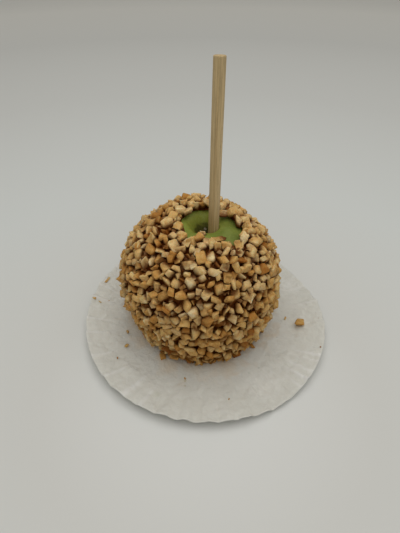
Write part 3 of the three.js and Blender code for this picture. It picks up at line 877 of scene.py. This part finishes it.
def shell_height(radius, lift):
    """Height of a surface lifted off the apple's upper half, at a radius."""
    drop = shoulder(radius, lift)[1]
    outer = EQUATOR + (CREST + lift - EQUATOR) * drop
    inner = dimple_height(np.minimum(radius, CREST_RADIUS)) + lift
    return np.where(radius < CREST_RADIUS, inner, outer)


def shell_line():
    """The coat's outer (radius, height) line from the foot over the crest and down into the
    dimple, and the length along it at each point."""
    below, above, dimple = SHELL_STEPS
    radius = np.linspace(CREST_RADIUS, SHELL_END, dimple)
    inward = np.stack([radius, shell_height(radius, COAT)], -1)[1:]
    line = np.concatenate([coat_outline(below, above), inward])
    steps = np.linalg.norm(np.diff(line, axis=0), axis=1)
    return line, np.concatenate([[0], np.cumsum(steps)])


def make_caramel(nut_feet):
    """A closed ring-shaped shell. Each column runs from the foot up the outside, over a thick
    rounded edge at the bare patch, and back down the inside. The outside is puffed out by a
    bell round each nut's foot, where caramel has climbed it, and by slow ripples."""
    outside, edge, inside = SHELL_ROWS
    angle = ring_angles(SHELL_COLUMNS)
    line, length = shell_line()
    equator = SHELL_STEPS[0]
    reach = opening_reach(angle) + EDGE_BACK
    stop = np.interp(-reach, -line[equator:, 0], length[equator:])
    up = np.linspace(0, 1, outside)[:, None]
    run = up * stop
    radius, height = [np.interp(run, length, line[:, axis]) for axis in (0, 1)]
    height = height - EDGE_THINNING * (1 - (stop - run) / EDGE_REACH).clip(0) ** 1.5
    lip = np.linspace(0, np.pi, edge + 2)[1:-1, None]
    lip_radius = radius[-1] - EDGE_ROUND * np.sin(lip)
    lip_height = height[-1] - EDGE_HALF * (1 - np.cos(lip))
    back = np.linspace(0, 1, inside)[:, None]
    back = (stop - INSIDE_BACK) * (1 - back) + INSIDE_END * back
    knees = [0, length[equator], length[equator] + WALL_REACH]
    inner_radius, inner_height = [
        np.interp(back, length, line[:, axis]) - SHELL_WALL * np.interp(back, knees, shares)
        for axis, shares in enumerate(WALL_SHARES)]
    inner_height = np.maximum(inner_height, COAT_BASE + 0.3)
    radius = np.concatenate([radius, lip_radius, inner_radius])
    height = np.concatenate([height, lip_height, inner_height])
    points = uneven(np.stack([radius * np.cos(angle), radius * np.sin(angle), height], -1))
    skin = points[:outside].reshape(-1, 3)
    climb = np.zeros(len(skin))
    for part in np.array_split(nut_feet, CLIMB_BATCHES):
        away = ((skin[:, None, :] - part[None]) ** 2).sum(-1)
        climb += np.exp(-away / CLIMB_SPREAD).sum(1)
    puff = CLIMB_HEIGHT * np.minimum(climb, CLIMB_MOST) + rippled(skin, SHELL_RIPPLES)
    fade = np.minimum(1, up * FOOT_FADE).repeat(SHELL_COLUMNS, 1).ravel()
    skin = skin + unit(skin - PUFF_MIDDLE) * ((puff - SHELL_SINK) * fade)[:, None]
    skin[:, 2] = np.maximum(skin[:, 2], COAT_BASE - 0.2)
    points[:outside] = skin.reshape(outside, SHELL_COLUMNS, 3)
    faces = grid_faces(len(points), SHELL_COLUMNS, wrap_rows=True)
    make_piece("caramel_shell", points + AXIS, faces, caramel_finish(),
               replaced=("nut_caramel_coat",))


# ---------------------------------------------------------------- chopped peanuts

def block_net():
    """A block from -1 to 1 with eased edges: four lines each way, kept where they lie on its
    skin, with the points of its edges and corners drawn in a little. 56 points, 54 faces."""
    i, j, k = np.meshgrid(*[np.arange(4)] * 3, indexing="ij")
    skin = (i % 3 == 0) | (j % 3 == 0) | (k % 3 == 0)
    number = np.full((4, 4, 4), -1)
    number[skin] = np.arange(skin.sum())
    steps = np.stack([i, j, k], -1)[skin]
    ends = (steps % 3 == 0).sum(-1, keepdims=True)
    reach = np.array([0, 1.0, 0.94, 0.87])[ends]
    points = np.sign(steps - 1.5) * np.where(steps % 3 == 0, reach, 0.68)
    sides = [number[3], number[0].T, number[:, 0], number[:, 3].T, number[:, :, 3],
             number[:, :, 0].T]
    faces = [np.stack([s[:-1, :-1], s[1:, :-1], s[1:, 1:], s[:-1, 1:]], -1).reshape(-1, 4)
             for s in sides]
    return points, np.concatenate(faces)


NET_POINTS, NET_FACES = block_net()
NET_ROUND = unit(NET_POINTS) * 1.08
NET_MIDDLE = (NET_POINTS[:, 2] > 0.95) & (np.abs(NET_POINTS[:, :2]).max(-1) < 0.8)
CORNER_SIGNS = np.array([[x, y, z] for x in (-1, 1) for y in (-1, 1) for z in (-1, 1)], float)


def coat_places(step_share, angle, outline):
    """Points and outward directions on the coat, from a place along its outline and an angle."""
    step = np.clip(np.floor(step_share).astype(int), 0, len(outline) - 2)
    share = (step_share - step)[:, None]
    spot = outline[step] * (1 - share) + outline[step + 1] * share
    along = unit(outline[step + 1] - outline[step])
    turn = np.stack([np.cos(angle), np.sin(angle)], -1)
    points = np.concatenate([spot[:, :1] * turn, spot[:, 1:]], -1)
    out = np.concatenate([along[:, 1:] * turn, -along[:, :1]], -1)
    return uneven(points), out


def even_steps(share, outline):
    """Where along the outline a share of the turned surface's area is reached."""
    ring = np.linalg.norm(np.diff(outline, axis=0), axis=1) * (outline[1:, 0] + outline[:-1, 0])
    areas = np.concatenate([[0], np.cumsum(ring)])
    return np.interp(share * areas[-1], areas, np.arange(len(outline)))


def outside_opening(points, scale):
    """Whether points lie outside the bare patch grown by a scale."""
    away = (points[:, :2] - OPENING_MIDDLE) / OPENING_RADII
    turn = np.arctan2(away[:, 1], away[:, 0])
    return np.hypot(away[:, 0], away[:, 1]) >= scale * opening_share(turn)


def big_places():
    """The large nuts: equal areas up the coat at the golden angle, and a row round the bare
    patch. Returns item numbers, points and outward directions."""
    item = np.arange(BIG_NUTS)
    outline = coat_outline(FOOT_STEPS, SHOULDER_STEPS)
    points, out = coat_places(even_steps((item + 0.5) / BIG_NUTS, outline),
                              item * GOLDEN_ANGLE, outline)
    away = (points[:, :2] - OPENING_MIDDLE) / OPENING_RADII
    keep = np.hypot(away[:, 0], away[:, 1]) >= RIM_CLEAR
    x, y = opening_line(ring_angles(RIM_NUTS), RIM_ROW)
    radius = np.hypot(x, y)
    fall, drop = shoulder(radius)
    rim = np.stack([x, y, EQUATOR + (CREST - EQUATOR) * drop + COAT], -1)
    rim_out = unit(np.stack([x * fall, y * fall, radius], -1))
    return (np.concatenate([item[keep], BIG_NUTS + np.arange(RIM_NUTS)]),
            np.concatenate([points[keep], rim]), np.concatenate([out[keep], rim_out]))


def fill_places(taken, widths, layers, pool, closeness, clear, seed):
    """Drops pieces on the coat, layer by layer from wide to narrow. Each spot of a random pool
    keeps its distance to the nearest piece's edge; a piece lands on a spot where it fits, and
    a layer ends when it fits nowhere."""
    chance = np.random.default_rng(seed)
    outline = coat_outline(40, 80)
    points, out = coat_places(even_steps(chance.uniform(0, 1, pool), outline),
                              chance.uniform(0, TURN, pool), outline)
    keep = outside_opening(points, clear)
    points, out = points[keep], out[keep]
    room = np.full(len(points), 1e3)
    half = closeness / 2
    for spot, width in zip(taken, widths):
        room = np.minimum(room, np.linalg.norm(points - spot, axis=1) - half * width)
    numbers, sizes = [], []
    for low, high, most in layers:
        for _ in range(most):
            size = chance.uniform(low, high)
            fits = np.flatnonzero(room > half * size)
            if not len(fits):
                break
            number = fits[chance.integers(len(fits))]
            numbers.append(number)
            sizes.append(size)
            away = np.linalg.norm(points - points[number], axis=1)
            room = np.minimum(room, away - half * size)
    return points[numbers], out[numbers], np.array(sizes)


def edge_places():
    """The pieces at the bare patch's edge: middles, feet, outward directions, half sizes,
    spins and roasts. The direction is the slope of the coat, from its height to either side."""
    facts = np.array(EDGE_PIECES)
    x, y, near = facts[:, 0], facts[:, 1], 0.1
    height = shell_height(np.hypot(x, y), COAT)
    slope_x = (shell_height(np.hypot(x + near, y), COAT) - height) / near
    slope_y = (shell_height(np.hypot(x, y + near), COAT) - height) / near
    out = unit(np.stack([-slope_x.clip(-1, 1), -slope_y.clip(-1, 1), 1 + 0 * x], -1))
    feet = uneven(np.stack([x, y, height], -1))
    feet[:, :2] = facts[:, :2]
    spin = np.radians(facts[:, 6]) - np.arctan2(SIDEWAYS[0], -SIDEWAYS[1])
    return feet + out * facts[:, 2:3], feet, out, facts[:, 3:6] / 2, spin, facts[:, 7]


def turning(axis, angle):
    """Matrices that turn by angles about the x, y or z axis, numbered 0 to 2."""
    first, second = (axis + 1) % 3, (axis + 2) % 3
    turn = np.zeros((len(angle), 3, 3))
    turn[:, axis, axis] = 1
    turn[:, first, first] = turn[:, second, second] = np.cos(angle)
    turn[:, first, second] = -np.sin(angle)
    turn[:, second, first] = np.sin(angle)
    return turn


def chopped_pieces(middles, out, half, chance, form, spin=None):
    """Pieces of peanut. A block net is mixed with a ball by a roundness, its eight corners are
    moved to narrow it unevenly, and the sum of three sine waves makes it lumpy. Its upper side
    falls away as a parabola about a point to one side, for a thick and a thin edge, parabolas
    bend it upwards and sideways, and the middle of its upper side is pressed in to leave a rim.
    Slices are cut off flat by pressing what stands beyond a plane back onto the plane. Then it
    is stretched to its size, roughened, tilted, spun and stood with its middle at its place.
    Returns points (pieces, 56, 3) and where each was cut; the middle of a dent counts as uncut, which
    gives painted shade in its hollow."""
    roundness, rough, bend, cuts, tilt = form
    count = len(middles)
    mix = chance.uniform(*roundness, (count, 1, 1))
    shape = NET_POINTS * (1 - mix) + NET_ROUND * mix
    corners = CORNER_SIGNS * (1 - rough * chance.uniform(0, 1, (count, 8, 3)) ** 1.5)
    weights = ((1 + CORNER_SIGNS[None, None] * shape[:, :, None, :]) / 2).prod(-1)
    shape = np.einsum("npc,ncx->npx", weights, corners)
    lumps = chance.normal(size=(count, 3, 3)) * LUMP_RATE
    phase = chance.uniform(0, TURN, (count, 1, 3))
    wave = np.sin(np.einsum("npx,nkx->npk", shape, lumps) + phase).sum(-1, keepdims=True)
    shape *= 1 + LUMP_SHARE * wave
    aside = chance.uniform(-1.0, 1.0, (count, 1, 2))
    fall = ((shape[..., :2] - aside) ** 2).sum(-1) * chance.uniform(*DOME, (count, 1))
    shape[..., 2] -= (1 + shape[..., 2]).clip(0, 2) / 2 * fall.clip(0, 1.5)
    curl = chance.uniform(-1, 1, (count, 2, 1)) * bend
    shape[..., 2] += curl[:, 0] * (shape[..., 0] ** 2 - 0.35)
    shape[..., 1] += 0.7 * curl[:, 1] * (shape[..., 0] ** 2 - 0.35)
    dent = chance.uniform(*DENT, (count, 1)).clip(0)
    shape[:, NET_MIDDLE, 2] -= dent
    shape[:, NET_MIDDLE, :2] *= 1 - 0.4 * (dent * 4).clip(0, 1)[..., None]
    cut = np.zeros(shape.shape[:2])
    for _ in range(cuts):
        plane = unit(chance.normal(size=(count, 1, 3)) * [1, 1, 0.8])
        reach = (shape * plane).sum(-1)
        limit = reach.max(1, keepdims=True) * chance.uniform(*CUT_KEPT, (count, 1))
        over = (reach - limit).clip(0)
        shape -= over[..., None] * plane
        cut = np.maximum(cut, (over > 0.02).astype(float))
    # The middle of a dent loses its paler cut colour: painted shade in the hollow
    cut[:, NET_MIDDLE] *= (1 - 2 * dent).clip(0)
    low, high = shape.min(1, keepdims=True), shape.max(1, keepdims=True)
    shape = (shape - (low + high) / 2) / (high - low) * 2 * half[:, None, :]
    shape += ROUGHNESS * chance.uniform(-1, 1, shape.shape)
    spin = chance.uniform(0, TURN, count) if spin is None else spin
    lean = chance.normal(0, tilt, (count, 2))
    side = unit(np.cross(out, SIDEWAYS))
    upright = np.stack([side, np.cross(out, side), out], -1)
    turn = upright @ turning(2, spin) @ turning(0, lean[:, 0]) @ turning(1, lean[:, 1])
    return np.einsum("nab,npb->npa", turn, shape) + middles[:, None, :], cut


def nut_values(placed, cut, feet, out, roast, chance):
    """What the peanut finish needs at each point: roast, cut, height over the caramel, and a
    number of the piece's own."""
    height = ((placed - feet[:, None, :]) * out[:, None, :]).sum(-1)
    phase = chance.uniform(0, 1, (len(placed), 1)) + 0 * height
    parts = [roast[:, None] + 0 * height, cut, (height / STAIN_SHADE_HEIGHT).clip(0, 1), phase]
    return np.stack(parts, -1).reshape(-1, 4)


def flatness(feet):
    """The share of their thickness that nuts keep: it falls towards the foot, and in bells
    round two places at the back of the crest."""
    share = np.interp(feet[:, 2], LOW_BAND, LOW_SHARE)
    for spot, reach, loss in FLAT_SPOTS:
        share *= 1 - loss * bell_about(feet, spot, reach)
    return share


def roasts(feet, chance):
    """A roast for each piece: mostly golden, some pale and a few toasted, but at most golden
    beside the bare patch."""
    count = len(feet)
    roast = chance.beta(*ROAST_SPREAD, count)
    odd = chance.uniform(0, 1, count)
    roast = np.where(odd > TOASTED_FROM, chance.uniform(*TOASTED, count), roast)
    roast = np.where(outside_opening(feet, TOASTED_CLEAR), roast, np.minimum(roast, RIM_ROAST))
    return np.where(odd < PALE_UNDER, chance.uniform(*PALE, count), roast)


def nut_group(middles, feet, out, half, chance, form):
    """Chopped pieces with roasts by chance, and what the finish needs of them."""
    placed, cut = chopped_pieces(middles, out, half, chance, form)
    return placed, nut_values(placed, cut, feet, out, roasts(feet, chance), chance)


def make_nut_piece(name, points, values, finish, replaced=(), place=0.0):
    """One piece of the object from placed pieces of peanut: the block net's faces, repeated."""
    starts = len(NET_POINTS) * np.arange(len(points))
    faces = (NET_FACES[None] + starts[:, None, None]).reshape(-1, 4)
    make_piece(name, points.reshape(-1, 3) + place, faces, finish,
               {"nut": values}, replaced)


def finish_nuts(name, groups, finish):
    """Joins groups of placed pieces into one piece of the object, none of it under the paper."""
    points, values = [np.concatenate(parts) for parts in zip(*groups)]
    points[..., 2] = np.maximum(points[..., 2], NUT_FLOOR)
    make_nut_piece(name, points, values, finish, ("nut_caramel_coat",), AXIS)


def make_nuts():
    """Large pieces first, then the pieces at the bare patch's edge, then middling ones and small
    ones in the room that they leave, then a loose upper layer that lies on the others."""
    finish = peanut_finish()
    item, feet, out = big_places()
    size = BIG_HALF + BIG_SPREAD * (np.stack([draw(item, q) for q in (1, 2, 3)], -1) - 0.5)
    flat = flatness(feet)
    half = size * BIG_SHRINK
    half[:, 2] *= flat
    base = feet - out * (RIM_STAIN_SHADE_DROP * (item >= BIG_NUTS))[:, None]
    chance = np.random.default_rng(SEEDS["large"])
    middles = feet + out * (BIG_STAND * flat)[:, None]
    placed, cut = chopped_pieces(middles, out, half, chance, LARGE_FORM)
    big = (placed, nut_values(placed, cut, base, out, roasts(feet, chance), chance))
    widths = half[:, :2].mean(1) * 2

    middles, edge_feet, edge_out, edge_half, spin, roast = edge_places()
    placed, cut = chopped_pieces(middles, edge_out, edge_half, chance, EDGE_FORM, spin)
    base = edge_feet - EDGE_STAIN_SHADE_DROP * edge_out
    edge = (placed, nut_values(placed, cut, base, edge_out, roast, chance))
    feet = np.concatenate([feet, edge_feet])
    widths = np.concatenate([widths, edge_half[:, :2].mean(1) * 2])

    chance = np.random.default_rng(SEEDS["between"])
    small_feet, small_out, size = fill_places(feet, widths, **BETWEEN)
    count = len(size)
    long = size * chance.uniform(*SMALL_SHARES[0], count)
    half = np.stack([long, long * chance.uniform(*SMALL_SHARES[1], count),
                     size * chance.uniform(*SMALL_SHARES[2], count)], -1)
    half[:, 2] = np.minimum(half[:, 2], SMALL_CAP) * flatness(small_feet)
    stand = (half[:, 2:] * chance.uniform(*SMALL_STAND, (count, 1))).clip(0, STAND_CAP)
    middles = small_feet + small_out * stand
    shard = chance.uniform(0, 1, count) < SHARD_SHARE
    small, shards = [
        nut_group(middles[kind], small_feet[kind], small_out[kind], half[kind] * [1, 1, thin],
                  chance, form)
        for kind, thin, form in ((~shard, 1.0, SMALL_FORM), (shard, SHARD_THINNING, SHARD_FORM))]

    chance = np.random.default_rng(SEEDS["upper"])
    upper_feet, upper_out, size = fill_places(feet[:0], widths[:0], **UPPER)
    count = len(size)
    flat = flatness(upper_feet)
    long, wide, high = UPPER_SHARES
    half = np.stack([size * long, size * long * chance.uniform(*wide, count),
                     flat * size * chance.uniform(*high, count)], -1)
    middles = upper_feet + upper_out * (UPPER_STAND * flat)[:, None]
    upper = nut_group(middles, upper_feet, upper_out, half, chance, UPPER_FORM)
    finish_nuts("peanut_chunks", [big, edge, small], finish)
    finish_nuts("peanut_shards", [shards, upper], finish)
    return np.concatenate([feet, small_feet]), finish


def make_loose_pieces(finish):
    """Bits of peanut that have dropped on the paper: each a chopped piece laid on the sheet."""
    facts = np.array(LOOSE_PIECES)
    x, y = facts[:, 0], facts[:, 1]
    feet = np.stack([x, y, paper_rise(x, y) + CASE_MIDDLE], -1)
    up = np.repeat([[0.0, 0.0, 1.0]], len(facts), 0)
    chance = np.random.default_rng(SEEDS["loose"])
    zero = np.zeros_like(feet)
    placed, cut = chopped_pieces(zero, up, facts[:, 2:5] / 2, chance, LOOSE_FORM)
    placed[..., 2] -= placed[..., 2].min(1)[:, None]
    values = nut_values(placed + STAIN_SHADE_LIFT, cut, zero, up, facts[:, 5], chance)
    make_nut_piece("loose_peanut_bits", placed + feet[:, None, :], values, finish)


# ---------------------------------------------------------------- stick

def make_stick():
    """A round profile carried along the lean: an eased lower end, ripples in its girth, and a
    sawn upper end whose edge is eased and whose face is a little uneven."""
    foot, head = np.array(STICK_FOOT), np.array(STICK_HEAD)
    heights = np.concatenate([foot[:, 0], np.linspace(2, STICK_LENGTH - 1, STICK_ROWS),
                              STICK_LENGTH - head[:, 0]])
    drawn_in = np.concatenate([foot[:, 1], np.zeros(STICK_ROWS), head[:, 1]])
    tube = turned(np.stack([STICK_RADIUS - drawn_in, heights], -1), STICK_COLUMNS)
    local = np.concatenate([tube.reshape(-1, 3), [[0, 0, 0], [0, 0, STICK_LENGTH]]])
    radius = np.hypot(local[:, 0], local[:, 1])
    shape = local.copy()
    share, pitch, seed = SIDE_WAVES
    waves = ripples(local * [1, 1, SIDE_STRETCH], pitch, seed)
    shape[:, :2] *= (1 - share * (1 + waves))[:, None]
    depth, pitch, seed = END_WAVES
    end = (local[:, 2] > STICK_LENGTH - 0.01) & (radius < END_RADIUS)
    shape[:, 2] -= end * depth * (1 + ripples(local, pitch, seed))
    side = unit(np.cross([0.0, 1.0, 0.0], STICK_LEAN))
    basis = np.stack([side, np.cross(STICK_LEAN, side), STICK_LEAN])
    points = shape @ basis + STICK_TOP - STICK_LEAN * STICK_LENGTH + AXIS
    make_piece("wooden_stick", points, turned_faces(len(heights), STICK_COLUMNS),
               stick_finish(), {"grain": local}, ("stick",))


# ---------------------------------------------------------------- paper case

def make_case():
    """A sheet on rings and rays: level in the middle, curved up to a fluted rim, with low
    crinkles and pleats as ripples and sharp folds as narrow ridges that grow towards the rim."""
    rays = FLUTES * RAYS_PER_FLUTE
    share = np.linspace(0, 1, CASE_RINGS + 1)[1:]
    radius = (CASE_RADIUS * share ** RING_SPREAD)[:, None]
    angle = ring_angles(rays)
    x, y = radius * np.cos(angle), radius * np.sin(angle)
    z = paper_rise(x, y)
    flat = np.stack([x, y, 0 * x], -1)
    out = ((radius - CRINKLE_START) / (CASE_RADIUS - CRINKLE_START)).clip(0, 1)
    z = z + out * rippled(flat, CRINKLES)
    spokes = np.stack(np.broadcast_arrays(np.cos(angle) * PLEAT_RADIUS,
                                          np.sin(angle) * PLEAT_RADIUS,
                                          radius * PLEAT_STRETCH), -1)
    free = ((radius - PLEAT_START) / PLEAT_GROWTH).clip(0, 1)
    z = z + free * rippled(spokes, PLEATS)
    # Besides its relief, each fold gets a paler line for the finish, a painted highlight
    fold_highlight = 0 * z
    for at, width, start, height in RIM_FOLDS:
        grow = ((radius - start) / (CASE_RADIUS - start)).clip(0, 1)
        fold = grow * bell_round(angle, at, width)
        z = z + FOLD_RISE * height * fold
        fold_highlight = np.maximum(fold_highlight, FOLD_HIGHLIGHT * height * np.minimum(1, 2 * fold))
    lift = CASE_MIDDLE - CASE_SHEET / 2
    sheet = np.stack([x, y, np.maximum(z, 0) + lift], -1)
    points = np.concatenate([sheet.reshape(-1, 3), [[0, 0, lift]]])
    column = np.arange(rays)
    hub = np.stack([np.full(rays, CASE_RINGS * rays), column, (column + 1) % rays], -1)
    faces = grid_faces(CASE_RINGS, rays)[:, ::-1].tolist() + hub.tolist()
    case = make_piece("fluted_paper_case", points, faces, paper_finish(),
                      {"fold_highlight": np.append(fold_highlight.ravel(), 0.0)[:, None]}, ("paper_case",))
    wall = case.modifiers.new("sheet_thickness", "SOLIDIFY")
    wall.thickness = CASE_SHEET * MM
    wall.offset = 1.0


# ---------------------------------------------------------------- stage

def make_floor():
    """A wide level tabletop."""
    mesh = bpy.data.meshes.new("tabletop")
    corners = [(x * FLOOR_HALF, y * FLOOR_HALF, 0) for x, y in ((-1, -1), (1, -1), (1, 1), (-1, 1))]
    mesh.from_pydata(corners, [], [(0, 1, 2, 3)])
    mesh.materials.append(floor_finish())
    tabletop = bpy.data.objects.new("tabletop", mesh)
    bpy.context.scene.collection.objects.link(tabletop)


def make_light(name, place, size, power):
    """A square soft light at a place, turned towards the apple's foot."""
    data = bpy.data.lights.new(name, "AREA")
    data.shape = "SQUARE"
    data.size = size
    data.energy = power
    data.color = LIGHT_COLOUR
    light = bpy.data.objects.new(name, data)
    bpy.context.scene.collection.objects.link(light)
    light.location = place
    away = unit(np.subtract(place, LIGHT_AIM))
    light.rotation_euler = (np.arccos(away[2]), 0, np.arctan2(away[1], away[0]) + np.pi / 2)


def make_world():
    """An even soft glow all round."""
    world = bpy.data.worlds.new("soft_room")
    world.use_nodes = True
    glow = world.node_tree.nodes["Background"]
    glow.inputs["Color"].default_value = GLOW_COLOUR
    glow.inputs["Strength"].default_value = GLOW_STRENGTH
    bpy.context.scene.world = world


def make_camera():
    """The camera in front, looking down on the apple."""
    data = bpy.data.cameras.new("camera")
    data.sensor_fit = "AUTO"
    data.sensor_width = CAMERA_SENSOR
    data.lens = CAMERA_LENS
    data.clip_start = CAMERA_NEAR
    camera = bpy.data.objects.new("camera", data)
    bpy.context.scene.collection.objects.link(camera)
    camera.location = CAMERA_PLACE
    camera.rotation_euler = (np.radians(CAMERA_TILT), 0, 0)
    bpy.context.scene.camera = camera


make_camera()
make_world()
make_floor()
for light in LIGHTS:
    make_light(*light)
bpy.context.scene.view_settings.view_transform = "Standard"

make_apple()
make_stem()
feet, nut_finish = make_nuts()
make_caramel(feet)
make_loose_pieces(nut_finish)
make_stick()
make_case()
